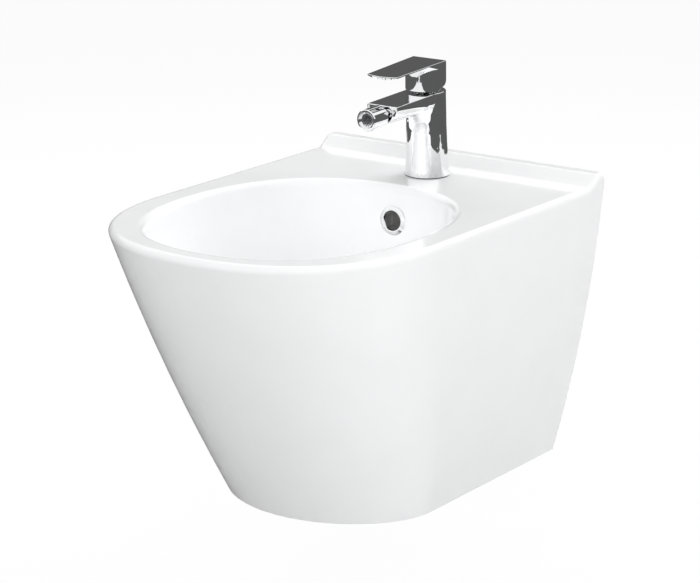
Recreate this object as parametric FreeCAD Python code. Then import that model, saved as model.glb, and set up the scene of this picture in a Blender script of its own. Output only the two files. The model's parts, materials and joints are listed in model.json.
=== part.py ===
import FreeCAD, Part
import math
import os

# Sizes in millimetres. Origin: midway between the two wall fixings, on the wall face.
# X to the right seen from the front, Y into the wall, Z up.

# Ceramic body
body_width = 360.0
body_projection = 510.0
body_depth = 315.0
deck_height = 90.0
side_length = 326.0
front_fullness = 0.635
foot_width = 248.0
foot_length = 351.0
foot_side_length = 249.0
foot_fullness = 0.537
side_bulge = 7.5
front_bulge = 6.5
rim_round = 6.0
wall_thickness = 11.0
deck_thickness = 14.0
ledge_rise = 12.0
ledge_top_depth = 12.0
ledge_ramp_depth = 18.0
ledge_foot_round = 10.0
ledge_edge_round = 6.0
web_thickness = 22.0
web_drop = 40.0

# Wall fixings
fixing_spacing = 180.0
fixing_bolt_radius = 6.0
sleeve_wall = 3.4
sleeve_flange_width = 4.0
sleeve_flange_thickness = 3.0

# Bowl
bowl_half_width = 143.0
bowl_rear = 140.0
bowl_front_rim = 31.0
bowl_depth = 140.0
bowl_fullness = 0.63
bowl_roundness = 2.6
bowl_floor_radius = 42.0
bowl_wall = 10.0
bowl_roll = 8.0

# Waste outlet
waste_distance = 245.0
waste_thread_radius = 20.95
waste_wall = 3.2
waste_hole_gap = 2.0
waste_boss_wall = 9.0
waste_boss_drop = 42.0
waste_tail_length = 27.0
waste_groove_width = 2.0
waste_groove_depth = 1.0
waste_slot_radius = 6.0
waste_flange_width = 10.5
waste_flange_thickness = 2.5
waste_flange_rise = 1.0
waste_seal_thickness = 1.5
backnut_width = 9.0
backnut_height = 10.0
backnut_lugs = 6
backnut_lug_depth = 2.0
guide_height = 6.0
guide_drop = 10.0
guide_hub_radius = 6.5
guide_arm_width = 3.0
guide_arms = 3
plug_travel = 8.0
plug_cap_thickness = 4.0
plug_cap_dome = 1.6
plug_cap_margin = 1.0
plug_seal_thickness = 1.6
plug_seal_width = 4.0
plug_stem_radius = 3.0
plug_stem_foot = 5.0
spring_wire = 0.6
spring_turns = 4

# Overflow
overflow_drop = 38.5
overflow_ring_radius = 16.0
overflow_hole_radius = 10.5
overflow_tube_wall = 1.6
overflow_ring_thickness = 3.0
overflow_tube_length = 8.0
duct_radius = 9.0
duct_wall = 8.0

# Tap body
tap_distance = 75.0
tap_hole_radius = 17.5
tap_base_radius = 24.6
tap_waist_radius = 21.85
tap_lean = 4.2
tap_height = 94.9
tap_top_fall = 2.15
tap_edge_round = 0.9
gasket_thickness = 1.0
tap_foot_wall = 6.0
tap_foot_recess = 13.0
gasket_inset = 0.4
arm_reach = 88.0
arm_half_width = 19.5
arm_depth = 20.4
arm_flat_side = 2.2
arm_root_round = 20.0
arm_end_recess = 1.5
arm_end_rim = 1.2

# Tap fixing and inlets
stud_radius = 4.0
stud_setback = 10.0
stud_depth = 13.0
stud_length = 72.0
horseshoe_radius = 23.0
horseshoe_thickness = 3.0
rubber_thickness = 2.5
fixing_nut_height = 8.0
fixing_nut_flats = 13.0
inlet_radius = 4.5
inlet_depth = 14.0
inlet_spacing = 18.0
inlet_advance = 6.0
inlet_channel_radius = 3.3

# Cartridge
cartridge_advance = 4.4
chamber_radius = 13.6
chamber_floor = 58.0
base_seal_thickness = 2.0
housing_floor = 3.5
housing_wall = 1.9
housing_flange = 2.2
rotor_radius = 10.2
disc_thickness = 3.5
moving_disc_radius = 8.0
carrier_thickness = 4.5
carrier_floor = 0.8
rotor_height = 13.0
rotor_gap = 0.5
pivot_rise = 8.5
pivot_pin_radius = 1.5
nut_height = 4.0
nut_overlap = 0.9
cover_ring_height = 3.2
lift_angle = 20.0

# Lever
lever_base_radius = 22.2
lever_back_half_width = 21.6
lever_gap = 1.6
lever_back_edge = 7.0
lever_reach = 88.4
lever_tip_half_width = 19.0
lever_tip_bow = 4.7
lever_top_height = 128.4
lever_fall = 3.0
lever_thickness = 3.6
lever_side_thickness = 0.9
lever_edge_round = 0.5
lever_tip_undercut = 25.0
lever_base_lean = 0.8
lever_keel_depth = 15.5
lever_keel_half_width = 3.0
lever_keel_spread = 0.41
lever_flare_half_width = 19.5
lever_flare_reach = 34.9
lever_back_shoulder = 113.0
lever_bevel_angle = 25.0
lever_bevel_round = 5.0
stem_radius = 3.0
stem_tip_radius = 2.0
stem_neck_radius = 1.5
stem_engagement = 17.0
set_screw_radius = 2.0
set_screw_length = 6.0
set_screw_height = 10.5
index_plug_radius = 3.0
index_plug_length = 3.0

# Swivel nozzle
ball_radius = 6.5
ball_setback = 6.0
neck_radius = 4.0
nozzle_radius = 12.0
nozzle_wall = 2.2
nozzle_fall = 2.0
nozzle_gap = 3.0
nozzle_length = 27.0
nozzle_rear_round = 3.0
nozzle_bore_radius = 2.8
collar_wall = 1.7
collar_lip = 3.0
collar_setback = 1.6
seat_margin = 1.4
aerator_wall = 2.4
aerator_lip = 0.5
aerator_depth = 14.0
aerator_recess = 0.4
aerator_washer_thickness = 1.5
insert_thickness = 4.0
insert_recess = 2.0
insert_hole_radius = 0.75
insert_hole_pitch = 2.1

# Clearances
running_fit = 0.05
curved_gap = 0.3
overshoot = 1.0

# Levels and places that follow from the sizes above
foot_level = deck_height - body_depth
ledge_level = deck_height + ledge_rise
ceiling_level = deck_height - deck_thickness
sleeve_bore_radius = fixing_bolt_radius + 2.0 * curved_gap
sleeve_radius = sleeve_bore_radius + sleeve_wall
bowl_floor_level = deck_height - bowl_depth
boss_level = bowl_floor_level - waste_boss_drop
waste_hole_radius = waste_thread_radius + waste_hole_gap
waste_flange_radius = waste_thread_radius + waste_flange_width
waste_recess_depth = waste_flange_thickness + waste_seal_thickness - waste_flange_rise
bowl_length = body_projection - bowl_rear - bowl_front_rim
waste_seat_level = bowl_floor_level - waste_recess_depth
waste_flange_level = waste_seat_level + waste_seal_thickness
waste_bore_radius = waste_thread_radius - waste_wall
backnut_radius = waste_thread_radius + backnut_width
backnut_level = boss_level - waste_seal_thickness
waste_groove_level = backnut_level - backnut_height - waste_groove_width
waste_tail_level = waste_groove_level - waste_tail_length
duct_level = bowl_floor_level - waste_boss_drop / 2.0
duct_boss_radius = duct_radius + duct_wall
duct_distance = bowl_rear - duct_boss_radius + bowl_wall / 2.0
overflow_level = deck_height - overflow_drop
guide_level = waste_flange_level - guide_drop
flange_top_level = bowl_floor_level + waste_flange_rise
plug_level = flange_top_level + plug_seal_thickness + plug_travel
plug_cap_radius = waste_flange_radius - plug_cap_margin
housing_bore_radius = rotor_radius + curved_gap
housing_radius = housing_bore_radius + housing_wall
housing_level = chamber_floor + base_seal_thickness
fixed_disc_level = housing_level + housing_floor
moving_disc_level = fixed_disc_level + disc_thickness
carrier_level = moving_disc_level + disc_thickness
rotor_level = carrier_level + carrier_thickness + rotor_gap
pivot_level = rotor_level + pivot_rise
carrier_pocket_level = carrier_level + carrier_floor
stem_tip_level = carrier_pocket_level + curved_gap + stem_tip_radius
disc_travel = (pivot_level - stem_tip_level) * math.sin(math.radians(lift_angle))
cartridge_top = rotor_level + rotor_height - nut_height / 2.0
cover_level = cartridge_top + nut_height
lever_level = tap_height + lever_gap
stem_top_level = lever_level + stem_engagement
set_screw_level = lever_level + set_screw_height
arm_end_level = tap_height - arm_reach * math.tan(math.radians(tap_top_fall))
ball_level = arm_end_level - arm_depth / 2.0
ball_seat_radius = ball_radius + curved_gap
collar_radius = ball_seat_radius + collar_wall
nozzle_start = ball_setback + nozzle_gap
nozzle_end = nozzle_start + nozzle_length
aerator_radius = nozzle_radius - nozzle_wall
insert_radius = aerator_radius - aerator_wall
tap_roof_level = gasket_thickness + tap_foot_recess
inlet_top = tap_roof_level + inlet_depth
stud_top = tap_roof_level + stud_depth
hexagon_half_angle = math.pi / 6
bowl_shares = (0.0, 0.3, 0.6, 0.82, 0.94, 1.0)
column_shares = (0.0, 0.2, 0.4, 0.6, 0.8, 1.0)
lever_tip_level = lever_top_height - (lever_reach + lever_back_edge) * math.tan(math.radians(lever_fall))
lever_edge_level = lever_tip_level - lever_side_thickness


def vec(x, y, z):
    return FreeCAD.Vector(x, y, z)


def rod(radius, low, high, x=0.0, y=0.0):
    return Part.makeCylinder(radius, high - low, vec(x, y, low))


def ring(outer, inner, low, high, x=0.0, y=0.0):
    return rod(outer, low, high, x, y).cut(rod(inner, low - overshoot, high + overshoot, x, y))


def rod_forward(radius, back, front, z, x=0.0):
    return Part.makeCylinder(radius, back - front, vec(x, back, z), vec(0, -1, 0))


def block(x0, x1, y0, y1, z0, z1):
    return Part.makeBox(x1 - x0, y1 - y0, z1 - z0, vec(x0, y0, z0))


def turned(profile):
    """Solid of revolution about Z from (radius, height) corners."""
    points = [vec(radius, 0, height) for radius, height in profile]
    face = Part.Face(Part.makePolygon(points + points[:1]))
    return face.revolve(vec(0, 0, 0), vec(0, 0, 1), 360)


def moved(shape, x, y, z):
    copy = shape.copy()
    copy.translate(vec(x, y, z))
    return copy


def rounded_face(points, radii):
    """Flat face from corner points, each corner rounded to its own radius."""
    edges = []
    ends = []
    for index, corner in enumerate(points):
        radius = radii[index]
        if radius == 0:
            ends.append((corner, corner))
            continue
        before = (points[index - 1] - corner).normalize()
        after = (points[(index + 1) % len(points)] - corner).normalize()
        half_angle = before.getAngle(after) / 2.0
        reach = radius / math.tan(half_angle)
        middle = (before + after).normalize()
        arc_middle = corner + middle * (radius / math.sin(half_angle) - radius)
        start = corner + before * reach
        end = corner + after * reach
        ends.append((start, end))
        edges.append(Part.Arc(start, arc_middle, end).toShape())
    for index in range(len(points)):
        start = ends[index - 1][1]
        end = ends[index][0]
        edges.append(Part.makeLine(start, end))
    return Part.Face(Part.Wire(Part.__sortEdges__(edges)))


def quarter_curve(start, end, corner, fullness):
    """Quarter of an oval from start to end, pulled toward the corner."""
    curve = Part.BezierCurve()
    first = start + (corner - start) * fullness
    second = end + (corner - end) * fullness
    curve.setPoles([start, first, second, end])
    return curve.toShape()


def mid_point(edge):
    return edge.valueAt((edge.FirstParameter + edge.LastParameter) / 2.0)


def body_section(share, inset, back):
    """Plan outline of the body at a share of the height from foot to deck."""
    bulge = 4.0 * share * (1.0 - share)
    half = (foot_width + (body_width - foot_width) * share) / 2.0 + side_bulge * bulge - inset
    reach = foot_length + (body_projection - foot_length) * share + front_bulge * bulge - inset
    side = foot_side_length + (side_length - foot_side_length) * share
    fullness = foot_fullness + (front_fullness - foot_fullness) * share
    z = foot_level + body_depth * share
    back_left = vec(-half, back, z)
    back_right = vec(half, back, z)
    side_left = vec(-half, -side, z)
    side_right = vec(half, -side, z)
    nose = vec(0, -reach, z)
    edges = [
        Part.makeLine(back_left, back_right),
        Part.makeLine(back_right, side_right),
        quarter_curve(side_right, nose, vec(half, -reach, z), fullness),
        quarter_curve(nose, side_left, vec(-half, -reach, z), fullness),
        Part.makeLine(side_left, back_left),
    ]
    return Part.Wire(edges)


def body_loft(low_share, high_share, inset, back):
    shares = (low_share, (low_share + high_share) / 2.0, high_share)
    return Part.makeLoft([body_section(share, inset, back) for share in shares], True)


def above_deck():
    """Space over the deck and in front of the back ledge."""
    ramp_top = -ledge_top_depth
    ramp_foot = ramp_top - ledge_ramp_depth
    front = -body_projection - body_depth
    roof = ledge_level + body_depth
    points = [
        vec(0, front, deck_height),
        vec(0, ramp_foot, deck_height),
        vec(0, ramp_top, ledge_level),
        vec(0, body_depth, ledge_level),
        vec(0, body_depth, roof),
        vec(0, front, roof),
    ]
    face = rounded_face(points, (0, ledge_foot_round, ledge_edge_round, 0, 0, 0))
    face.translate(vec(-body_width, 0, 0))
    return face.extrude(vec(2.0 * body_width, 0, 0))


def rim_edges(solid):
    """Edges round the top of the body, apart from those on the wall face and along X."""
    chosen = []
    for edge in solid.Edges:
        middle = mid_point(edge)
        along = edge.tangentAt((edge.FirstParameter + edge.LastParameter) / 2.0)
        if middle.z < deck_height - running_fit or abs(middle.y) < running_fit:
            continue
        if abs(along.x) < 0.999:
            chosen.append(edge)
    return chosen


def bowl_section(share, level, extra):
    """Oval bowl outline; share runs from 0 at the rim to 1 at the floor."""
    shrink = 1.0 - (1.0 - share ** bowl_roundness) ** (1.0 / bowl_roundness)
    half = bowl_half_width + (bowl_floor_radius - bowl_half_width) * shrink + extra
    front_at_rim = bowl_rear + bowl_length
    rear = bowl_rear + (waste_distance - bowl_floor_radius - bowl_rear) * shrink - extra
    front = front_at_rim + (waste_distance + bowl_floor_radius - front_at_rim) * shrink + extra
    middle = -(rear + front) / 2.0
    right = vec(half, middle, level)
    left = vec(-half, middle, level)
    nose = vec(0, -front, level)
    tail = vec(0, -rear, level)
    edges = [
        quarter_curve(tail, right, vec(half, -rear, level), bowl_fullness),
        quarter_curve(right, nose, vec(half, -front, level), bowl_fullness),
        quarter_curve(nose, left, vec(-half, -front, level), bowl_fullness),
        quarter_curve(left, tail, vec(-half, -rear, level), bowl_fullness),
    ]
    return Part.Wire(edges)


def bowl_solid(extra):
    """Bowl hollow, grown outward by the extra thickness."""
    depth = bowl_depth + extra
    sections = [bowl_section(0.0, deck_height + bowl_roll, extra)]
    for share in bowl_shares:
        sections.append(bowl_section(share, deck_height - depth * share, extra))
    return Part.makeLoft(sections, True)


def make_ceramic():
    """Glazed body with bowl, ledge, fixing web, waste boss and overflow duct."""
    ledge_share = (ledge_level - foot_level) / body_depth
    roof = 2.0 * ledge_level
    behind_wall = block(-body_width, body_width, 0, 2.0 * overshoot, foot_level - overshoot, roof)
    block_out = body_loft(0.0, ledge_share, 0.0, overshoot).cut([above_deck(), behind_wall])
    block_out = block_out.makeFillet(rim_round, rim_edges(block_out))
    body = block_out.cut(bowl_solid(0.0))
    roll = []
    for edge in body.Edges:
        middle = mid_point(edge)
        inside = abs(middle.x) < bowl_half_width and -middle.y < bowl_rear + bowl_length
        if inside and abs(middle.z - deck_height) < running_fit and -middle.y > bowl_rear:
            roll.append(edge)
    body = body.makeFillet(bowl_roll, roll)
    foot_share = -overshoot / body_depth
    ceiling_share = (ceiling_level - foot_level) / body_depth
    hollow = body_loft(foot_share, ceiling_share, wall_thickness, overshoot)
    web = block(-body_width, body_width, -web_thickness, body_depth, -web_drop, ledge_level)
    boss_radius = waste_hole_radius + waste_boss_wall
    boss_top = bowl_floor_level + bowl_wall
    waste_boss = rod(boss_radius, boss_level, boss_top, 0, -waste_distance)
    duct_foot = duct_level - duct_boss_radius
    upright_boss = rod(duct_boss_radius, duct_foot, ledge_level, 0, -duct_distance)
    level_boss = rod_forward(duct_boss_radius, -duct_distance, -waste_distance, duct_level)
    kept = [web, bowl_solid(bowl_wall), waste_boss, upright_boss, level_boss]
    body = body.cut(hollow.cut(kept))
    sleeve_holes = [
        rod_forward(sleeve_radius, overshoot, -web_thickness - overshoot, 0, side * fixing_spacing / 2.0)
        for side in (-1, 1)
    ]
    duct_top = overflow_level + overflow_hole_radius
    bowl_side = -bowl_rear - bowl_wall
    cuts = sleeve_holes + [
        rod(tap_hole_radius, ceiling_level - overshoot, deck_height + overshoot, 0, -tap_distance),
        rod(waste_hole_radius, boss_level - overshoot, bowl_floor_level, 0, -waste_distance),
        rod(waste_flange_radius + curved_gap, waste_seat_level, boss_top, 0, -waste_distance),
        rod(duct_radius, duct_level, duct_top, 0, -duct_distance),
        rod_forward(duct_radius, -duct_distance, -waste_distance, duct_level),
        rod_forward(overflow_hole_radius + overflow_tube_wall, -duct_distance, bowl_side, overflow_level),
        rod_forward(overflow_ring_radius + curved_gap, -bowl_rear, bowl_side, overflow_level),
    ]
    return body.cut(cuts)


def make_wall_sleeve(side):
    """Flanged plastic sleeve that keeps the wall stud off the ceramic."""
    x = side * fixing_spacing / 2.0
    flange_face = -web_thickness - sleeve_flange_thickness
    sleeve = rod_forward(sleeve_radius, 0, -web_thickness, 0, x)
    flange = rod_forward(sleeve_radius + sleeve_flange_width, -web_thickness, flange_face, 0, x)
    bore = rod_forward(sleeve_bore_radius, overshoot, flange_face - overshoot, 0, x)
    return sleeve.fuse(flange).cut(bore).removeSplitter()


def make_overflow_ring():
    """Bright ring that lines the overflow hole."""
    tube_radius = overflow_hole_radius + overflow_tube_wall
    face = overflow_ring_thickness
    profile = [
        (overflow_hole_radius, -overflow_tube_length),
        (tube_radius, -overflow_tube_length),
        (tube_radius, 0),
        (overflow_ring_radius, 0),
        (overflow_ring_radius, face / 2.0),
        (tube_radius + face / 4.0, face),
        (overflow_hole_radius + face / 4.0, face),
        (overflow_hole_radius, face / 2.0),
    ]
    shape = turned(profile)
    shape.rotate(vec(0, 0, 0), vec(1, 0, 0), 90)
    return moved(shape, 0, -bowl_rear, overflow_level)


def make_waste_flange():
    top = flange_top_level
    profile = [
        (waste_bore_radius, waste_flange_level),
        (waste_flange_radius, waste_flange_level),
        (waste_flange_radius, top - waste_flange_rise),
        (waste_flange_radius - waste_flange_rise, top),
        (waste_bore_radius + waste_flange_rise, top),
        (waste_bore_radius, top - waste_flange_rise),
    ]
    return moved(turned(profile), 0, -waste_distance, 0)


def make_waste_body():
    """Threaded waste tube with overflow slots and a groove above the tail."""
    tube = ring(waste_thread_radius, waste_bore_radius, waste_tail_level, waste_flange_level)
    reach = waste_thread_radius + overshoot
    slot = Part.makeCylinder(waste_slot_radius, 2.0 * reach, vec(-reach, 0, duct_level), vec(1, 0, 0))
    cross_slot = rod_forward(waste_slot_radius, reach, -reach, duct_level)
    groove_top = waste_groove_level + waste_groove_width
    groove = ring(reach, waste_thread_radius - waste_groove_depth, waste_groove_level, groove_top)
    return moved(tube.cut([slot, cross_slot, groove]), 0, -waste_distance, 0)


def make_waste_flange_seal():
    top = waste_flange_level
    return ring(waste_flange_radius, waste_thread_radius, waste_seat_level, top, 0, -waste_distance)


def make_waste_lower_seal():
    top = boss_level
    return ring(backnut_radius, waste_thread_radius, backnut_level, top, 0, -waste_distance)


def make_waste_backnut():
    low = backnut_level - backnut_height
    nut = ring(backnut_radius, waste_thread_radius, low, backnut_level)
    notches = []
    for index in range(backnut_lugs):
        angle = 2.0 * math.pi * index / backnut_lugs
        x = backnut_radius * math.cos(angle)
        y = backnut_radius * math.sin(angle)
        notches.append(rod(backnut_lug_depth, low - overshoot, backnut_level - backnut_lug_depth, x, y))
    return moved(nut.cut(notches), 0, -waste_distance, 0)


def make_plug_guide():
    """Hub on three arms inside the waste tube."""
    low = guide_level - guide_height
    rim = ring(waste_bore_radius, waste_bore_radius - guide_arm_width, low, guide_level)
    hub = rod(guide_hub_radius, low, guide_level)
    arms = []
    for index in range(guide_arms):
        reach = waste_bore_radius - guide_arm_width / 2.0
        arm = block(0, reach, -guide_arm_width / 2.0, guide_arm_width / 2.0, low, guide_level)
        arm.rotate(vec(0, 0, 0), vec(0, 0, 1), 360.0 * index / guide_arms)
        arms.append(arm)
    bore = rod(plug_stem_radius + curved_gap, low - overshoot, guide_level + overshoot)
    shape = rim.fuse([hub] + arms).cut(bore).removeSplitter()
    return moved(shape, 0, -waste_distance, 0)


def make_plug_cap():
    """Domed push-open plug, drawn raised."""
    top = plug_level + plug_cap_thickness
    dome_radius = (plug_cap_radius ** 2 + plug_cap_dome ** 2) / (2.0 * plug_cap_dome)
    dome = Part.makeSphere(dome_radius, vec(0, -waste_distance, top - dome_radius))
    return rod(plug_cap_radius, plug_level, top, 0, -waste_distance).common(dome)


def make_plug_seal():
    outer = plug_cap_radius - plug_cap_margin
    low = plug_level - plug_seal_thickness
    return ring(outer, outer - plug_seal_width, low, plug_level, 0, -waste_distance)


def make_plug_stem():
    """Guide rod with a foot that stops it pulling out of the hub."""
    foot_top = guide_level - guide_height - curved_gap
    foot_bottom = foot_top - plug_stem_radius
    stem = rod(plug_stem_radius, foot_bottom, plug_level)
    foot = rod(plug_stem_foot, foot_bottom, foot_top)
    return moved(stem.fuse(foot).removeSplitter(), 0, -waste_distance, 0)


def make_plug_spring():
    """Coil between the hub and the cap, drawn at its raised length."""
    height = plug_level - guide_level - 2.0 * spring_wire
    coil_radius = (plug_stem_radius + guide_hub_radius) / 2.0
    path = Part.makeHelix(height / spring_turns, height, coil_radius)
    section = Part.Wire(Part.makeCircle(spring_wire, vec(coil_radius, 0, 0), vec(0, 1, 0)))
    coil = Part.Wire(path.Edges).makePipeShell([section], True, True)
    return moved(coil, 0, -waste_distance, guide_level + spring_wire)


def arm_outline(inset):
    """D-shaped end view of the arm, flat side up, on the XZ plane."""
    half = arm_half_width - inset
    shoulder = arm_end_level - arm_flat_side
    left = vec(-half, 0, shoulder)
    right = vec(half, 0, shoulder)
    bottom = vec(0, 0, arm_end_level - arm_depth + inset)
    top = tap_height + arm_half_width
    edges = [
        Part.Arc(left, bottom, right).toShape(),
        Part.makeLine(right, vec(half, 0, top)),
        Part.makeLine(vec(half, 0, top), vec(-half, 0, top)),
        Part.makeLine(vec(-half, 0, top), left),
    ]
    return Part.Face(Part.Wire(edges))


def above_tap(inset):
    """Space over the sloping top of the tap, lowered by the inset."""
    size = 4.0 * arm_reach
    space = block(-size, size, -size, size, 0, size)
    space.rotate(vec(0, 0, 0), vec(1, 0, 0), tap_top_fall)
    return moved(space, 0, 0, tap_height - inset)


def softened_top(solid):
    """Solid cut off along the sloping top of the tap, with its top and front edges rounded."""
    trimmed = solid.cut(above_tap(0.0))
    slope = math.tan(math.radians(tap_top_fall))
    edges = []
    for edge in trimmed.Edges:
        middle = mid_point(edge)
        on_top = abs(middle.z - tap_height - slope * middle.y) < running_fit
        on_front = abs(middle.y + arm_reach) < running_fit
        if on_top or on_front:
            edges.append(edge)
    return trimmed.makeFillet(tap_edge_round, edges)


def column_section(height):
    """Round section of the column, which leans forward and narrows upward in a hollow curve."""
    share = (height - gasket_thickness) / (tap_height - gasket_thickness)
    radius = tap_waist_radius + (tap_base_radius - tap_waist_radius) * max(0.0, 1.0 - share) ** 3
    return Part.Wire(Part.makeCircle(radius, vec(0, -tap_lean * share, height)))


def root_edges(casting, top):
    """Edges where the arm grows out of the column, up to the untrimmed top."""
    chosen = []
    for edge in casting.Edges:
        middle = mid_point(edge)
        from_axis = math.hypot(middle.x, middle.y + tap_lean)
        on_column = abs(from_axis - tap_waist_radius) < overshoot
        beside_arm = arm_end_level - arm_depth - running_fit < middle.z < top - running_fit
        if on_column and beside_arm and middle.y < -tap_lean - overshoot:
            chosen.append(edge)
    return chosen


def make_tap_body():
    """Column and arm in one casting, in the tap frame."""
    top = tap_height + arm_half_width
    levels = [gasket_thickness + (top - gasket_thickness) * share for share in column_shares]
    column = Part.makeLoft([column_section(level) for level in levels], True)
    arm = arm_outline(0.0).extrude(vec(0, -arm_reach, 0))
    casting = column.fuse(arm).removeSplitter()
    body = softened_top(casting.makeFillet(arm_root_round, root_edges(casting, top)))
    axis_y = -cartridge_advance
    ball_y = -arm_reach + ball_setback
    seat_back = ball_y + ball_radius + seat_margin
    recess = arm_outline(arm_end_rim).extrude(vec(0, -2.0 * arm_end_recess, 0))
    recess = moved(recess, 0, -arm_reach + arm_end_recess, 0).cut(above_tap(arm_end_rim))
    cuts = [
        recess,
        rod(chamber_radius, chamber_floor, top, 0, axis_y),
        rod(chamber_radius + nut_overlap, cartridge_top, top, 0, axis_y),
        rod_forward(nozzle_bore_radius + running_fit, axis_y, ball_y, ball_level),
        rod_forward(collar_radius, seat_back, -arm_reach - overshoot, ball_level),
        rod(tap_base_radius - tap_foot_wall, 0, tap_roof_level),
        rod(stud_radius, 0, stud_top, 0, stud_setback),
    ]
    for side in (-1, 1):
        x = side * inlet_spacing / 2.0
        y = -inlet_advance
        cuts.append(rod(inlet_radius, 0, inlet_top, x, y))
        cuts.append(rod(inlet_channel_radius, inlet_top - overshoot, chamber_floor + overshoot, x, y))
    return body.cut(cuts)


def make_tap_gasket():
    return ring(tap_base_radius - gasket_inset, tap_hole_radius, 0, gasket_thickness)


def make_tap_stud():
    return rod(stud_radius, stud_top - stud_length, stud_top, 0, stud_setback)


def horseshoe(thickness, top, inset):
    """Flat clamp with a mouth at the front for the two hoses."""
    plate = rod(horseshoe_radius - inset, top - thickness, top)
    mouth_half = inlet_spacing / 2.0 + inlet_radius
    mouth_back = stud_setback - 2.0 * stud_radius
    mouth = block(-mouth_half, mouth_half, -horseshoe_radius, mouth_back, top - thickness, top)
    hole = rod(stud_radius, top - thickness, top, 0, stud_setback)
    return plate.cut([mouth, hole])


def make_fixing_rubber():
    return horseshoe(rubber_thickness, -deck_thickness, 0.0)


def make_fixing_clamp():
    return horseshoe(horseshoe_thickness, -deck_thickness - rubber_thickness, gasket_inset)


def make_fixing_nut():
    top = -deck_thickness - rubber_thickness - horseshoe_thickness
    corner = fixing_nut_flats / 2.0 / math.cos(hexagon_half_angle)
    points = []
    for index in range(6):
        angle = 2.0 * hexagon_half_angle * index
        points.append(vec(corner * math.cos(angle), stud_setback + corner * math.sin(angle), top))
    prism = Part.Face(Part.makePolygon(points + points[:1])).extrude(vec(0, 0, -fixing_nut_height))
    return prism.cut(rod(stud_radius, top - fixing_nut_height, top, 0, stud_setback))


def water_ports(low, high, radius):
    """Two inlet ports and one outlet port, as used through the cartridge floor."""
    ports = []
    for side in (-1, 1):
        ports.append(rod(radius, low, high, side * inlet_spacing / 4.0, cartridge_advance - inlet_advance))
    return ports


def make_cartridge_housing():
    """Cup that holds the discs and carries the rotor."""
    rim = chamber_radius - curved_gap / 2.0
    cup = rod(housing_radius, housing_level, cartridge_top)
    foot = rod(rim, housing_level, fixed_disc_level)
    head = rod(rim, cartridge_top - housing_flange, cartridge_top)
    bore = rod(housing_bore_radius, fixed_disc_level, cartridge_top + overshoot)
    window_level = (rotor_level + cartridge_top - housing_flange) / 2.0
    window = rod_forward(nozzle_bore_radius, 0, -chamber_radius, window_level)
    cuts = [bore, window] + water_ports(housing_level - overshoot, fixed_disc_level, inlet_channel_radius)
    return cup.fuse([foot, head]).cut(cuts).removeSplitter()


def make_cartridge_seal():
    """Soft ring under the housing with the two inlet ports."""
    seal = rod(chamber_radius, chamber_floor, housing_level)
    ports = water_ports(chamber_floor - overshoot, housing_level + overshoot, inlet_channel_radius)
    return seal.cut(ports)


def make_fixed_disc():
    disc = rod(housing_bore_radius, fixed_disc_level, moving_disc_level)
    ports = water_ports(fixed_disc_level - overshoot, moving_disc_level + overshoot, inlet_channel_radius)
    return disc.cut(ports)


def make_moving_disc():
    """Ceramic disc, drawn set back by half its travel."""
    setback = disc_travel / 2.0
    disc = rod(moving_disc_radius, moving_disc_level, carrier_level, 0, setback)
    half = inlet_channel_radius + inlet_spacing / 8.0
    front = setback - moving_disc_radius / 2.0
    back = front + inlet_channel_radius
    roof = moving_disc_level + disc_thickness / 2.0
    return disc.cut(block(-half, half, front, back, moving_disc_level, roof))


def make_disc_carrier():
    """Plastic carrier on the moving disc with the pocket for the lever stem."""
    setback = disc_travel / 2.0
    top = carrier_level + carrier_thickness
    carrier = rod(moving_disc_radius, carrier_level, top, 0, setback)
    pocket = rod(stem_tip_radius + curved_gap, carrier_pocket_level, top + overshoot)
    mouth = rod(stem_tip_radius + 3.0 * curved_gap, stem_tip_level + curved_gap, top + overshoot)
    return carrier.cut([pocket, mouth])


def make_rotor():
    """Turning barrel with a slot in which the stem rocks."""
    top = rotor_level + rotor_height
    slot_half = stem_radius + curved_gap
    rock = pivot_rise * math.tan(math.radians(lift_angle)) + slot_half / math.cos(math.radians(lift_angle))
    slot = block(-slot_half, slot_half, -rock, rock, rotor_level - overshoot, top + overshoot)
    reach = rotor_radius + overshoot
    bore = Part.makeCylinder(pivot_pin_radius, 2.0 * reach, vec(-reach, 0, pivot_level), vec(1, 0, 0))
    return rod(rotor_radius, rotor_level, top).cut([slot, bore])


def make_pivot_pin():
    reach = rotor_radius - running_fit
    return Part.makeCylinder(pivot_pin_radius, 2.0 * reach, vec(-reach, 0, pivot_level), vec(1, 0, 0))


def make_cartridge_nut():
    """Threaded ring that holds the cartridge down."""
    return ring(chamber_radius + nut_overlap, housing_bore_radius, cartridge_top, cover_level)


def make_cover_ring():
    """Trim ring over the nut, under the lever."""
    top = cover_level + cover_ring_height
    outer = chamber_radius + nut_overlap
    profile = [
        (housing_bore_radius, cover_level),
        (outer, cover_level),
        (outer, top - tap_edge_round),
        (outer - tap_edge_round, top),
        (housing_bore_radius + tap_edge_round, top),
        (housing_bore_radius, top - tap_edge_round),
    ]
    return turned(profile)


def lever_outline(back):
    """Outline of the lever seen from above, with a bowed tip and sides run on to the given back."""
    tip_corner = lever_reach - lever_tip_bow
    widening = (lever_back_half_width - lever_tip_half_width) / (tip_corner + lever_back_edge)
    back_half = lever_tip_half_width + widening * (tip_corner + back)
    back_left = vec(-back_half, back, lever_edge_level)
    back_right = vec(back_half, back, lever_edge_level)
    left = vec(-lever_tip_half_width, -tip_corner, lever_edge_level)
    right = vec(lever_tip_half_width, -tip_corner, lever_edge_level)
    edges = [
        Part.makeLine(back_left, back_right),
        Part.makeLine(back_right, right),
        Part.Arc(right, vec(0, -lever_reach, lever_edge_level), left).toShape(),
        Part.makeLine(left, back_left),
    ]
    return Part.Face(Part.Wire(edges))


def lever_plan(back):
    """Upright block on the lever outline."""
    face = moved(lever_outline(back), 0, 0, lever_level - lever_edge_level)
    return face.extrude(vec(0, 0, lever_top_height - lever_level))


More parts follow.
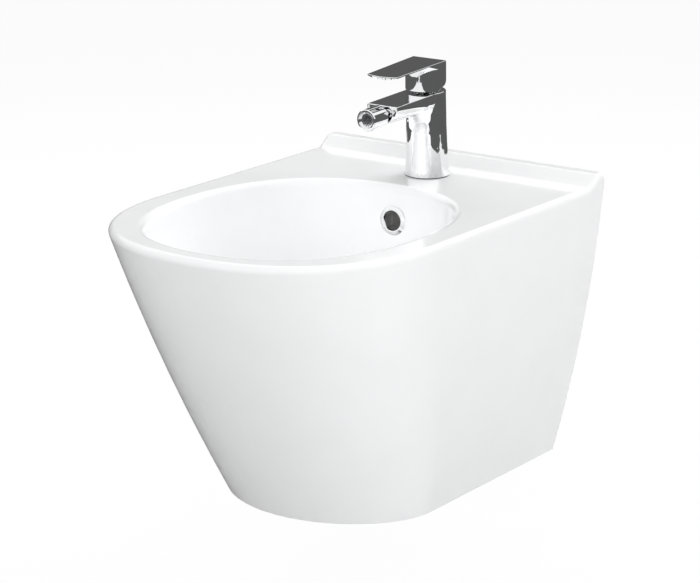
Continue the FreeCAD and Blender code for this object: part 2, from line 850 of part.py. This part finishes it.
def lever_plate():
    """Plate with a bowed underside, cut back under its tip."""
    face = lever_outline(lever_back_edge)
    drop = lever_edge_level - lever_level
    upper = face.extrude(vec(0, 0, lever_top_height - lever_edge_level))
    lower = face.extrude(vec(0, drop * math.tan(math.radians(lever_tip_undercut)), -drop))
    return upper.fuse(lower).common(above_lever_belly())


def under_lever_top():
    """Space below the sloping top of the lever plate."""
    size = 4.0 * lever_reach
    space = block(-size, size, -size, size, -size, 0)
    space.rotate(vec(0, 0, 0), vec(1, 0, 0), lever_fall)
    return moved(space, 0, lever_back_edge, lever_top_height)


def above_lever_belly():
    """Space over the bowed underside of the lever plate."""
    size = 4.0 * lever_reach
    left = vec(-lever_back_half_width, size, -lever_side_thickness)
    right = vec(lever_back_half_width, size, -lever_side_thickness)
    far_left = vec(-size, size, -lever_side_thickness)
    far_right = vec(size, size, -lever_side_thickness)
    belly = Part.Arc(left, vec(0, size, -lever_thickness), right).toShape()
    rest = Part.makePolygon([right, far_right, vec(size, size, size), vec(-size, size, size), far_left, left])
    space = Part.Face(Part.Wire([belly] + rest.Edges)).extrude(vec(0, -2.0 * size, 0))
    space.rotate(vec(0, 0, 0), vec(1, 0, 0), lever_fall)
    return moved(space, 0, lever_back_edge, lever_top_height)


def flare_corners(half, reach, level):
    """Corners of the flare under the lever plate at one level; it widens toward the back."""
    back_half = half + lever_keel_spread * reach
    return [
        vec(-half, -reach, level),
        vec(half, -reach, level),
        vec(back_half, 0, level),
        vec(-back_half, 0, level),
    ]


def lever_flare():
    """Flat-sided flare between the lever base and the plate."""
    roof = lever_top_height - lever_side_thickness
    keel = flare_corners(lever_keel_half_width, lever_base_radius, roof - lever_keel_depth)
    spread = flare_corners(lever_flare_half_width, lever_flare_reach, roof)
    outlines = [keel, spread]
    for corner in range(len(keel)):
        outlines.append([keel[corner - 1], keel[corner], spread[corner], spread[corner - 1]])
    faces = [Part.Face(Part.makePolygon(outline + outline[:1])) for outline in outlines]
    return Part.makeSolid(Part.makeShell(faces))


def lever_base():
    """Round base of the lever, leaning slightly forward."""
    foot = Part.Face(Part.Wire(Part.makeCircle(lever_base_radius, vec(0, 0, lever_level))))
    return foot.extrude(vec(0, -lever_base_lean, lever_top_height - lever_level))


def lever_envelope():
    """Outer form of the lever seen from above, with a small round along the top of its sides and tip."""
    form = lever_plan(lever_base_radius + overshoot).common(under_lever_top()).removeSplitter()
    slope = math.tan(math.radians(lever_fall))
    chosen = []
    for edge in form.Edges:
        middle = mid_point(edge)
        on_top = abs(middle.z - lever_top_height - slope * (middle.y - lever_back_edge)) < running_fit
        if on_top and middle.y < 0:
            chosen.append(edge)
    return form.makeFillet(lever_edge_round, chosen)


def bevel_edges(handle):
    """Edge between the bevel and the round back of the lever base."""
    slope = math.tan(math.radians(lever_bevel_angle))
    chosen = []
    for edge in handle.Edges:
        middle = mid_point(edge)
        on_bevel = abs(middle.z - lever_level - slope * middle.y) < running_fit
        if on_bevel and math.hypot(middle.x, middle.y) > stem_radius + overshoot and middle.y > overshoot:
            chosen.append(edge)
    return chosen


def make_lever():
    """Lever plate on a round base, flared into each other, in the cartridge frame."""
    flare = lever_flare().common(lever_plan(lever_back_edge))
    handle = lever_plate().fuse([lever_base(), flare]).common(lever_envelope())
    size = 4.0 * lever_base_radius
    back_points = [
        vec(-size, lever_back_edge, lever_top_height),
        vec(-size, lever_base_radius, lever_back_shoulder),
        vec(-size, size, lever_back_shoulder),
        vec(-size, size, lever_top_height),
    ]
    back_cut = Part.Face(Part.makePolygon(back_points + back_points[:1])).extrude(vec(2.0 * size, 0, 0))
    bevel = block(-size, size, 0, size, -size, 0)
    bevel.rotate(vec(0, 0, 0), vec(1, 0, 0), lever_bevel_angle)
    handle = handle.cut([back_cut, moved(bevel, 0, 0, lever_level)]).removeSplitter()
    handle = handle.makeFillet(lever_bevel_round, bevel_edges(handle))
    socket = rod(stem_radius, lever_level - overshoot, stem_top_level)
    reach = lever_base_radius + overshoot
    screw_hole = rod_forward(set_screw_radius, reach, 0, set_screw_level)
    plug_hole = rod_forward(index_plug_radius, reach, lever_base_radius - index_plug_length, set_screw_level)
    return handle.cut([socket, screw_hole, plug_hole])


def make_lever_stem():
    """Rocking stem from the lever socket to the disc carrier."""
    neck_top = rotor_level + stem_neck_radius
    stem = rod(stem_radius, neck_top, stem_top_level)
    neck = rod(stem_neck_radius, stem_tip_level, neck_top)
    tip = Part.makeSphere(stem_tip_radius, vec(0, 0, stem_tip_level))
    reach = stem_radius + overshoot
    bore_radius = pivot_pin_radius + running_fit
    bore = Part.makeCylinder(bore_radius, 2.0 * reach, vec(-reach, 0, pivot_level), vec(1, 0, 0))
    return stem.fuse([neck, tip]).cut(bore).removeSplitter()


def make_set_screw():
    return rod_forward(set_screw_radius, stem_radius + set_screw_length, stem_radius, set_screw_level)


def make_index_plug():
    """Small plug that closes the set screw hole at the back of the lever."""
    front = lever_base_radius - index_plug_length
    plug = rod_forward(index_plug_radius, lever_base_radius, front, set_screw_level)
    return plug.common(lever_base())


def make_ball_collar():
    """Ring screwed into the arm end that keeps the ball in."""
    front = ball_setback - arm_end_recess
    lip = math.sqrt(ball_seat_radius ** 2 - collar_lip ** 2)
    collar = ring(collar_radius, lip, -collar_setback, front)
    flare = Part.makeCone(lip, ball_seat_radius, front - collar_lip, vec(0, 0, collar_lip))
    return collar.cut([Part.makeSphere(ball_seat_radius), flare])


def make_ball_seat():
    """Soft seat ring behind the ball."""
    back = -ball_radius - seat_margin
    front = -collar_setback - curved_gap
    seat = ring(collar_radius - curved_gap, nozzle_bore_radius + curved_gap, back, front)
    return seat.cut(Part.makeSphere(ball_seat_radius))


def make_nozzle():
    """Ball, neck and sleeve of the swivel nozzle; the axis runs along Z from the ball centre."""
    ball = Part.makeSphere(ball_radius)
    neck = rod(neck_radius, 0, nozzle_start + overshoot)
    shoulder = nozzle_start + nozzle_rear_round
    aerator_floor = nozzle_end - aerator_recess - aerator_depth - aerator_washer_thickness
    sleeve = turned([
        (0, nozzle_start),
        (nozzle_radius - nozzle_rear_round, nozzle_start),
        (nozzle_radius, shoulder),
        (nozzle_radius, nozzle_end - tap_edge_round),
        (nozzle_radius - tap_edge_round, nozzle_end),
        (aerator_radius, nozzle_end),
        (aerator_radius, aerator_floor),
        (insert_radius, aerator_floor),
        (insert_radius, shoulder),
        (0, shoulder),
    ])
    bore = rod(nozzle_bore_radius, -nozzle_end, nozzle_end)
    return ball.fuse([neck, sleeve]).cut(bore).removeSplitter()


def make_aerator_washer():
    top = nozzle_end - aerator_recess - aerator_depth
    return ring(aerator_radius, insert_radius - aerator_wall, top - aerator_washer_thickness, top)


def make_aerator_housing():
    """Ring screwed into the nozzle mouth."""
    top = nozzle_end - aerator_recess
    shelf = top - insert_recess - insert_thickness
    housing = ring(aerator_radius, insert_radius, top - aerator_depth, top)
    mouth_floor = vec(0, 0, top - insert_recess)
    mouth = Part.makeCone(insert_radius, aerator_radius - aerator_lip, insert_recess, mouth_floor)
    inner_rim = ring(insert_radius, insert_radius - aerator_wall, top - aerator_depth, shelf)
    return housing.fuse(inner_rim).cut(mouth).removeSplitter()


def make_aerator_insert():
    """Honeycomb flow straightener."""
    top = nozzle_end - aerator_recess - insert_recess
    low = top - insert_thickness
    disc = rod(insert_radius, low, top)
    holes = []
    rows = int(insert_radius / insert_hole_pitch)
    for row in range(-rows, rows + 1):
        y = row * insert_hole_pitch * math.cos(hexagon_half_angle)
        for column in range(-2 * rows, 2 * rows + 1):
            x = (column + (row % 2) / 2.0) * insert_hole_pitch
            if math.hypot(x, y) < insert_radius - 2.0 * insert_hole_radius:
                holes.append(rod(insert_hole_radius, low - overshoot, top + overshoot, x, y))
    return disc.cut(holes)


def on_deck(shape):
    return moved(shape, 0, -tap_distance, deck_height)


def on_cartridge(shape):
    return moved(shape, 0, -tap_distance - cartridge_advance, deck_height)


def on_ball(shape, fall=0.0):
    facing = shape.copy()
    facing.rotate(vec(0, 0, 0), vec(1, 0, 0), 90.0 + fall)
    return moved(facing, 0, -tap_distance - arm_reach + ball_setback, deck_height + ball_level)


nodes = {
    "ceramic_body": make_ceramic(),
    "wall_sleeve_left": make_wall_sleeve(-1),
    "wall_sleeve_right": make_wall_sleeve(1),
    "overflow_ring": make_overflow_ring(),
    "waste_flange": make_waste_flange(),
    "waste_body": make_waste_body(),
    "waste_flange_seal": make_waste_flange_seal(),
    "waste_lower_seal": make_waste_lower_seal(),
    "waste_backnut": make_waste_backnut(),
    "plug_guide": make_plug_guide(),
    "plug_cap": make_plug_cap(),
    "plug_seal": make_plug_seal(),
    "plug_stem": make_plug_stem(),
    "plug_spring": make_plug_spring(),
    "tap_body": on_deck(make_tap_body()),
    "tap_base_gasket": on_deck(make_tap_gasket()),
    "tap_fixing_stud": on_deck(make_tap_stud()),
    "fixing_rubber_washer": on_deck(make_fixing_rubber()),
    "fixing_clamp_plate": on_deck(make_fixing_clamp()),
    "fixing_nut": on_deck(make_fixing_nut()),
    "cartridge_housing": on_cartridge(make_cartridge_housing()),
    "cartridge_base_seal": on_cartridge(make_cartridge_seal()),
    "fixed_disc": on_cartridge(make_fixed_disc()),
    "moving_disc": on_cartridge(make_moving_disc()),
    "disc_carrier": on_cartridge(make_disc_carrier()),
    "cartridge_rotor": on_cartridge(make_rotor()),
    "rotor_pivot_pin": on_cartridge(make_pivot_pin()),
    "cartridge_nut": on_cartridge(make_cartridge_nut()),
    "cartridge_cover_ring": on_cartridge(make_cover_ring()),
    "lever_handle": on_cartridge(make_lever()),
    "lever_stem": on_cartridge(make_lever_stem()),
    "lever_set_screw": on_cartridge(make_set_screw()),
    "lever_index_plug": on_cartridge(make_index_plug()),
    "ball_collar": on_ball(make_ball_collar()),
    "ball_seat_ring": on_ball(make_ball_seat()),
    "nozzle": on_ball(make_nozzle(), nozzle_fall),
    "aerator_washer": on_ball(make_aerator_washer(), nozzle_fall),
    "aerator_housing": on_ball(make_aerator_housing(), nozzle_fall),
    "aerator_insert": on_ball(make_aerator_insert(), nozzle_fall),
}

os.makedirs("parts", exist_ok=True)
for name, shape in nodes.items():
    shape.exportStep("parts/" + name + ".step")
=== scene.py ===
"""Wall-hung bidet: finishes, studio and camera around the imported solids. Lengths are in metres."""

import json
import math

import bpy
from mathutils import Matrix, Vector


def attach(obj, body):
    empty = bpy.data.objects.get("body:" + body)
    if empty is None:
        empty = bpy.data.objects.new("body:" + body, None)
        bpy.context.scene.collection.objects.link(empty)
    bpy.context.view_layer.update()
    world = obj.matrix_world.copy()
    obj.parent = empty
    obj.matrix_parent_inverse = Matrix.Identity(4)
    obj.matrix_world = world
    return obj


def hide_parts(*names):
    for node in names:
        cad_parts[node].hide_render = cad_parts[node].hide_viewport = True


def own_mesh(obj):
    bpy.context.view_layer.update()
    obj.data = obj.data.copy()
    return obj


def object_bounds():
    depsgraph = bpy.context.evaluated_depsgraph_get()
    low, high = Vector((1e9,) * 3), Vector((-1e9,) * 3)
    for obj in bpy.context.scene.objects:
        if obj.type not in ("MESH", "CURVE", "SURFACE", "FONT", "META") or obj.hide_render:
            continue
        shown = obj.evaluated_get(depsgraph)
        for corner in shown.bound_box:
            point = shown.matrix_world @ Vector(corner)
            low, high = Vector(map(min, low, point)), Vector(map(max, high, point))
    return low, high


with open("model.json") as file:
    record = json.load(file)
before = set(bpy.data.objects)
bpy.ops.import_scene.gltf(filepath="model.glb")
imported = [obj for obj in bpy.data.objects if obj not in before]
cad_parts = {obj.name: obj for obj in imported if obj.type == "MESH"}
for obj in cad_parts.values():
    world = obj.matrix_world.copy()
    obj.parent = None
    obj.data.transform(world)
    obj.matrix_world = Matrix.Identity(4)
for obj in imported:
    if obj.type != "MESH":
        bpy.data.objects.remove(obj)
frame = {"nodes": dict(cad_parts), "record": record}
nodes = frame["nodes"]
cad_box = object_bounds()

# Camera, as the photograph was taken: degrees round from the front towards the right, and degrees up
IMAGE_WIDTH = 700
FOCAL_PIXELS = 2675.6
CAMERA_AZIMUTH = 35.48
CAMERA_ELEVATION = 16.97
CAMERA_DISTANCE = 2.841
CAMERA_TARGET = Vector((0.0, -0.255, -0.0676))
CAMERA_SHIFT = (0.02595, 0.08442)
SENSOR_WIDTH = 36.0

# Floor, below the lowest point of the object, and the share of plain white that is seen on it
FLOOR_DROP = 0.085
FLOOR_LEVEL = cad_box[0][2] - FLOOR_DROP
FLOOR_SIZE = 60.0
FLOOR_COLOUR = (0.75, 0.75, 0.75, 1.0)
FLOOR_ROUGHNESS = 0.9
FLOOR_GLOW = 0.96

# Tent, whose roof starts at a share of the radius, measured along a direction that leans to the front
TENT_RADIUS = 5.0
TENT_SEGMENTS = 64
TENT_RINGS = 32
TENT_CLEARANCE = 0.01
TENT_TONE = 0.105
ROOF_TONE = 1.0
ROOF_UP = Vector((0.0, -0.217, 1.0))
ROOF_EDGE = 0.305
ROOF_BLEND = 0.03
BLIND_RAYS = ("camera", "diffuse", "transmission", "volume_scatter", "shadow")

# Soft boxes all round the object: degrees round from the front towards the right, degrees up, watts
LAMP_AIM = Vector((0.0, -0.25, -0.05))
LAMP_DISTANCE = 2.4
LAMP_SIZE = 1.4
LAMPS = (
    (0, 60, 6.5),
    (180, 60, 19.2),
    (0, 30, 8.7),
    (45, 30, 24.8),
    (135, 30, 15.6),
    (180, 30, 23.6),
    (225, 30, 23.6),
    (270, 30, 7.5),
    (315, 30, 16.0),
    (90, 4, 16.8),
)

# Noise in the finishes: its detail, the part of its range where colours change, and its plain proportions
NOISE_DETAIL = 4.0
PATCH_START = 0.3
PATCH_END = 0.7
EVEN = (1.0, 1.0, 1.0)

# Glaze, a clear layer over white
GLAZE_IOR = 1.52
GLAZE_COAT = 0.2
GLAZE_COAT_ROUGHNESS = 0.04

# Bare clay in the overflow duct, given a dark colour that is painted shade for the inside of the hole:
# corners of the space round it, and its colour
DUCT_LOW = Vector((-0.0125, -0.1385, -0.085))
DUCT_HIGH = Vector((0.0125, -0.1185, 0.0645))
CLAY_WITH_PAINTED_SHADE = (0.28, 0.275, 0.27, 1.0)
CLAY_ROUGHNESS = 0.85

# Nodes whose faces are curved all over, so that their large faces don't lead the shading
CURVED_NODES = ("tap_body",)


def direction(azimuth, elevation):
    """A unit vector, from degrees round from the front towards the right and degrees up."""
    round_angle = math.radians(azimuth)
    up_angle = math.radians(elevation)
    return Vector((
        math.sin(round_angle) * math.cos(up_angle),
        -math.cos(round_angle) * math.cos(up_angle),
        math.sin(up_angle)))


def new_material(name):
    """A material with a bare Principled shader; returns it with its tree and shader."""
    material = bpy.data.materials.new(name)
    material.use_nodes = True
    tree = material.node_tree
    shader = tree.nodes["Principled BSDF"]
    return material, tree, shader


def object_noise(tree, scale, stretch):
    """Noise fixed to the object, with scale in ripples per metre."""
    coordinates = tree.nodes.new("ShaderNodeTexCoord")
    mapping = tree.nodes.new("ShaderNodeMapping")
    mapping.inputs["Scale"].default_value = stretch
    noise = tree.nodes.new("ShaderNodeTexNoise")
    noise.inputs["Scale"].default_value = scale
    noise.inputs["Detail"].default_value = NOISE_DETAIL
    tree.links.new(coordinates.outputs["Object"], mapping.inputs["Vector"])
    tree.links.new(mapping.outputs["Vector"], noise.inputs["Vector"])
    return noise.outputs["Fac"]


def blend_colours(tree, share, dark, light):
    """A colour that goes from dark to light as the share goes through its middle range."""
    ramp = tree.nodes.new("ShaderNodeValToRGB")
    first, last = ramp.color_ramp.elements
    first.position = PATCH_START
    first.color = (*dark, 1.0)
    last.position = PATCH_END
    last.color = (*light, 1.0)
    tree.links.new(share, ramp.inputs["Fac"])
    return ramp.outputs["Color"]


def spread(tree, share, low, high):
    """A number that goes from low to high with the share."""
    spread_node = tree.nodes.new("ShaderNodeMapRange")
    spread_node.inputs["To Min"].default_value = low
    spread_node.inputs["To Max"].default_value = high
    tree.links.new(share, spread_node.inputs["Value"])
    return spread_node.outputs["Result"]


def largest(tree, values):
    """The largest of several numbers."""
    result = values[0]
    for value in values[1:]:
        larger = tree.nodes.new("ShaderNodeMath")
        larger.operation = "MAXIMUM"
        tree.links.new(result, larger.inputs[0])
        tree.links.new(value, larger.inputs[1])
        result = larger.outputs["Value"]
    return result


def add_bump(tree, shader, height, depth, strength):
    """Raises the surface by up to depth metres."""
    bump = tree.nodes.new("ShaderNodeBump")
    bump.inputs["Distance"].default_value = depth
    bump.inputs["Strength"].default_value = strength
    tree.links.new(height, bump.inputs["Height"])
    tree.links.new(bump.outputs["Normal"], shader.inputs["Normal"])


def finish_surface(name, dark, light, rough, patches, grains, depth, strength, stretch=EVEN, metallic=0.0):
    """A finish with patchy colour and roughness at one rate per metre and a fine bump at another."""
    material, tree, shader = new_material(name)
    patch_share = object_noise(tree, patches, EVEN)
    tree.links.new(blend_colours(tree, patch_share, dark, light), shader.inputs["Base Color"])
    tree.links.new(spread(tree, patch_share, *rough), shader.inputs["Roughness"])
    add_bump(tree, shader, object_noise(tree, grains, stretch), depth, strength)
    shader.inputs["Metallic"].default_value = metallic
    return material


def inside_box(tree, low, high):
    """1 between two corners in the object's frame, 0 elsewhere."""
    half = (high - low) / 2.0
    scale = Vector([1.0 / side for side in half])
    coordinates = tree.nodes.new("ShaderNodeTexCoord")
    mapping = tree.nodes.new("ShaderNodeMapping")
    mapping.inputs["Location"].default_value = -(low + high) / 2.0 * scale
    mapping.inputs["Scale"].default_value = scale
    size = tree.nodes.new("ShaderNodeVectorMath")
    size.operation = "ABSOLUTE"
    sides = tree.nodes.new("ShaderNodeSeparateXYZ")
    within = tree.nodes.new("ShaderNodeMath")
    within.operation = "LESS_THAN"
    within.inputs[1].default_value = 1.0
    tree.links.new(coordinates.outputs["Object"], mapping.inputs["Vector"])
    tree.links.new(mapping.outputs["Vector"], size.inputs[0])
    tree.links.new(size.outputs["Vector"], sides.inputs["Vector"])
    tree.links.new(largest(tree, list(sides.outputs)), within.inputs[0])
    return within.outputs["Value"]


def live_port(ports, name):
    """The port of that name which a mixer shows for its kind of value."""
    return next(port for port in ports if port.enabled and port.name == name)


def swap_value(tree, share, socket, kind, value):
    """Mixes a constant into what already feeds a socket, as the share goes from 0 to 1."""
    mixer = tree.nodes.new("ShaderNodeMix")
    mixer.data_type = kind
    live_port(mixer.inputs, "B").default_value = value
    tree.links.new(socket.links[0].from_socket, live_port(mixer.inputs, "A"))
    tree.links.new(share, live_port(mixer.inputs, "Factor"))
    tree.links.new(live_port(mixer.outputs, "Result"), socket)


def glaze():
    """White glaze, with the bare clay of the overflow duct darkened as painted shade."""
    material = finish_surface(
        "white_glaze",
        dark=(0.875, 0.88, 0.885),
        light=(0.895, 0.9, 0.905),
        rough=(0.12, 0.18),
        patches=14.0,
        grains=220.0,
        depth=0.00004,
        strength=0.25)
    tree = material.node_tree
    shader = tree.nodes["Principled BSDF"]
    shader.inputs["IOR"].default_value = GLAZE_IOR
    shader.inputs["Coat Weight"].default_value = GLAZE_COAT
    shader.inputs["Coat Roughness"].default_value = GLAZE_COAT_ROUGHNESS
    bare_shaded_duct = inside_box(tree, DUCT_LOW, DUCT_HIGH)
    # The duct's bare clay is coloured dark as painted shade for the inside of the overflow hole; its
    # roughness is the clay's own.
    swap_value(tree, bare_shaded_duct, shader.inputs["Base Color"], "RGBA", CLAY_WITH_PAINTED_SHADE)
    swap_value(tree, bare_shaded_duct, shader.inputs["Roughness"], "FLOAT", CLAY_ROUGHNESS)
    return material


def chrome():
    return finish_surface(
        "polished_chrome",
        dark=(0.90, 0.905, 0.91),
        light=(0.93, 0.935, 0.94),
        rough=(0.02, 0.05),
        patches=60.0,
        grains=900.0,
        depth=0.000004,
        strength=0.1,
        metallic=1.0)


def aerator_chrome():
    return finish_surface(
        "aerator_chrome",
        dark=(0.80, 0.81, 0.82),
        light=(0.86, 0.87, 0.88),
        rough=(0.05, 0.10),
        patches=300.0,
        grains=2500.0,
        depth=0.000004,
        strength=0.15,
        metallic=1.0)


def brass():
    return finish_surface(
        "raw_brass",
        dark=(0.56, 0.40, 0.16),
        light=(0.70, 0.52, 0.23),
        rough=(0.22, 0.38),
        patches=90.0,
        grains=1500.0,
        depth=0.00002,
        strength=0.3,
        stretch=(1.0, 1.0, 8.0),
        metallic=1.0)


def steel():
    return finish_surface(
        "plated_steel",
        dark=(0.50, 0.51, 0.52),
        light=(0.62, 0.63, 0.63),
        rough=(0.25, 0.4),
        patches=120.0,
        grains=1800.0,
        depth=0.00002,
        strength=0.3,
        stretch=(1.0, 1.0, 6.0),
        metallic=1.0)


def rubber():
    return finish_surface(
        "black_rubber",
        dark=(0.012, 0.012, 0.013),
        light=(0.028, 0.028, 0.03),
        rough=(0.55, 0.75),
        patches=160.0,
        grains=2200.0,
        depth=0.00005,
        strength=0.5)


def white_plastic():
    return finish_surface(
        "white_plastic",
        dark=(0.72, 0.72, 0.70),
        light=(0.80, 0.80, 0.78),
        rough=(0.35, 0.5),
        patches=60.0,
        grains=1600.0,
        depth=0.00003,
        strength=0.4)


def grey_plastic():
    return finish_surface(
        "grey_plastic",
        dark=(0.13, 0.135, 0.14),
        light=(0.19, 0.195, 0.2),
        rough=(0.4, 0.55),
        patches=90.0,
        grains=1600.0,
        depth=0.00003,
        strength=0.4)


def disc_ceramic():
    return finish_surface(
        "disc_ceramic",
        dark=(0.74, 0.73, 0.70),
        light=(0.82, 0.81, 0.79),
        rough=(0.15, 0.25),
        patches=200.0,
        grains=3000.0,
        depth=0.000005,
        strength=0.2)


FINISHES = {
    "glaze": glaze,
    "chrome": chrome,
    "aerator_chrome": aerator_chrome,
    "brass": brass,
    "steel": steel,
    "rubber": rubber,
    "white_plastic": white_plastic,
    "grey_plastic": grey_plastic,
    "disc_ceramic": disc_ceramic,
}


def dress_nodes():
    """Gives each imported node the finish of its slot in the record, and shades large flat faces true."""
    finishes = {slot: make() for slot, make in FINISHES.items()}
    for part in frame["record"]["subparts"]:
        node = nodes[part["node"]]
        for material_slot in node.material_slots:
            material_slot.material = finishes[part["material_slot"]]
        if part["node"] not in CURVED_NODES:
            shading = node.modifiers.new("large_faces_first", "WEIGHTED_NORMAL")
            shading.keep_sharp = True


def make_spring():
    """A copy of the plug's spring that takes the place of the imported one and goes with the bidet."""
    spring = bpy.data.objects.new("pressed_spring", nodes["plug_spring"].data.copy())
    bpy.context.scene.collection.objects.link(spring)
    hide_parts("plug_spring")
    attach(spring, "bidet")
    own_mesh(spring)


def seen_share(tree):
    """1 for rays from the camera, a mirror or glass, which see the plain white surroundings."""
    path = tree.nodes.new("ShaderNodeLightPath")
    rays = ("Is Camera Ray", "Is Glossy Ray", "Is Transmission Ray")
    return largest(tree, [path.outputs[ray] for ray in rays])


def make_world():
    """White surroundings that are seen and give no light of their own."""
    world = bpy.data.worlds.new("studio")
    world.use_nodes = True
    tree = world.node_tree
    background = tree.nodes["Background"]
    background.inputs["Color"].default_value = (1.0, 1.0, 1.0, 1.0)
    tree.links.new(seen_share(tree), background.inputs["Strength"])
    bpy.context.scene.world = world


def make_floor():
    """A wide pale floor that is seen as nearly white and keeps a faint shadow."""
    half = FLOOR_SIZE / 2
    outline = ((-half, -half), (half, -half), (half, half), (-half, half))
    mesh = bpy.data.meshes.new("floor")
    mesh.from_pydata([(x, y, FLOOR_LEVEL) for x, y in outline], [], [(0, 1, 2, 3)])
    floor = bpy.data.objects.new("floor", mesh)
    bpy.context.scene.collection.objects.link(floor)
    material, tree, shader = new_material("pale_floor")
    shader.inputs["Base Color"].default_value = FLOOR_COLOUR
    shader.inputs["Roughness"].default_value = FLOOR_ROUGHNESS
    glow = tree.nodes.new("ShaderNodeEmission")
    mixer = tree.nodes.new("ShaderNodeMixShader")
    tree.links.new(spread(tree, seen_share(tree), 0.0, FLOOR_GLOW), mixer.inputs["Fac"])
    tree.links.new(shader.outputs["BSDF"], mixer.inputs[1])
    tree.links.new(glow.outputs["Emission"], mixer.inputs[2])
    tree.links.new(mixer.outputs["Shader"], tree.nodes["Material Output"].inputs["Surface"])
    mesh.materials.append(material)


def make_tent():
    """A dark tent with a bright roof that comes lower at the front, which only polished surfaces see."""
    bpy.ops.mesh.primitive_uv_sphere_add(segments=TENT_SEGMENTS, ring_count=TENT_RINGS, radius=TENT_RADIUS)
    tent = bpy.context.object
    tent.name = "dark_tent"
    for corner in tent.data.vertices:
        corner.co.z = max(corner.co.z, FLOOR_LEVEL + TENT_CLEARANCE)
    for ray in BLIND_RAYS:
        setattr(tent, "visible_" + ray, False)
    material, tree, shader = new_material("dark_tent")
    tree.nodes.remove(shader)
    coordinates = tree.nodes.new("ShaderNodeTexCoord")
    height = tree.nodes.new("ShaderNodeVectorMath")
    height.operation = "DOT_PRODUCT"
    height.inputs[1].default_value = ROOF_UP / TENT_RADIUS
    tone = tree.nodes.new("ShaderNodeMapRange")
    tone.inputs["From Min"].default_value = ROOF_EDGE
    tone.inputs["From Max"].default_value = ROOF_EDGE + ROOF_BLEND
    tone.inputs["To Min"].default_value = TENT_TONE
    tone.inputs["To Max"].default_value = ROOF_TONE
    glow = tree.nodes.new("ShaderNodeEmission")
    tree.links.new(coordinates.outputs["Object"], height.inputs[0])
    tree.links.new(height.outputs["Value"], tone.inputs["Value"])
    tree.links.new(tone.outputs["Result"], glow.inputs["Strength"])
    tree.links.new(glow.outputs["Emission"], tree.nodes["Material Output"].inputs["Surface"])
    tent.data.materials.append(material)


def make_lamps():
    """Soft boxes that light the object and don't show in polished surfaces."""
    for azimuth, elevation, watts in LAMPS:
        name = "soft_box_%d_%d" % (azimuth, elevation)
        lamp = bpy.data.lights.new(name, "AREA")
        lamp.size = LAMP_SIZE
        lamp.energy = watts
        place = LAMP_AIM + LAMP_DISTANCE * direction(azimuth, elevation)
        holder = bpy.data.objects.new(name, lamp)
        holder.location = place
        holder.rotation_euler = (LAMP_AIM - place).to_track_quat("-Z", "Y").to_euler()
        holder.visible_glossy = False
        bpy.context.scene.collection.objects.link(holder)


def make_camera():
    """A camera at the photograph's viewing angle."""
    data = bpy.data.cameras.new("photo_camera")
    data.sensor_width = SENSOR_WIDTH
    data.lens = FOCAL_PIXELS * SENSOR_WIDTH / IMAGE_WIDTH
    data.shift_x, data.shift_y = CAMERA_SHIFT
    back = direction(CAMERA_AZIMUTH, CAMERA_ELEVATION)
    right = Vector((-back.y, back.x, 0.0)).normalized()
    up = back.cross(right)
    turn = Matrix((right, up, back)).transposed().to_4x4()
    camera = bpy.data.objects.new("photo_camera", data)
    camera.matrix_world = Matrix.Translation(CAMERA_TARGET + back * CAMERA_DISTANCE) @ turn
    bpy.context.scene.collection.objects.link(camera)
    bpy.context.scene.camera = camera


dress_nodes()
make_spring()
make_world()
make_floor()
make_tent()
make_lamps()
make_camera()
bpy.context.scene.view_settings.view_transform = "Standard"
